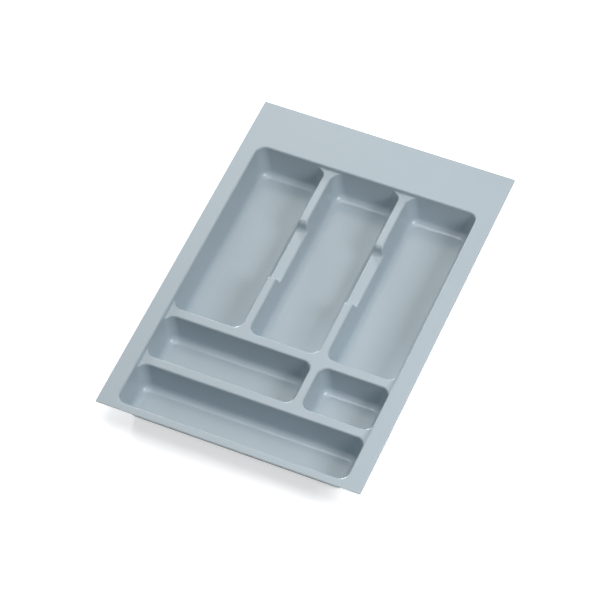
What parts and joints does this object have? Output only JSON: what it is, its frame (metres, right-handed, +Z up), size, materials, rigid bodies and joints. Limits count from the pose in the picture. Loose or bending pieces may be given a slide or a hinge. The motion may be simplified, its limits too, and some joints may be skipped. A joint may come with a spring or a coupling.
{
  "type": "cutlery tray",
  "caption": "Low vacuum-formed drawer insert that sorts cutlery in rectangular wells, with lowered finger saddles in the long dividers and a flat rim to trim to the drawer",
  "frame": {"origin": "on the drawer floor, below the middle of the tray's outline", "axes": "X is the tray's width, +Y runs from the drawer's front to its back along the long wells, +Z is up out of the wells"},
  "size_m": [0.34, 0.49, 0.045],
  "materials": {
    "tray_plastic": "satin grey-blue polystyrene, smooth from the forming mould"
  },
  "bodies": {
    "root": {"back_rim": "tray_plastic", "front_rim": "tray_plastic", "left_rim": "tray_plastic", "right_rim": "tray_plastic", "front_cross_divider": "tray_plastic", "rear_cross_divider": "tray_plastic", "long_divider_left": "tray_plastic", "long_divider_right": "tray_plastic", "short_divider": "tray_plastic", "left_long_floor": "tray_plastic", "middle_long_floor": "tray_plastic", "right_long_floor": "tray_plastic", "wide_middle_floor": "tray_plastic", "small_middle_floor": "tray_plastic", "front_floor": "tray_plastic"}
  },
  "joints": []
}
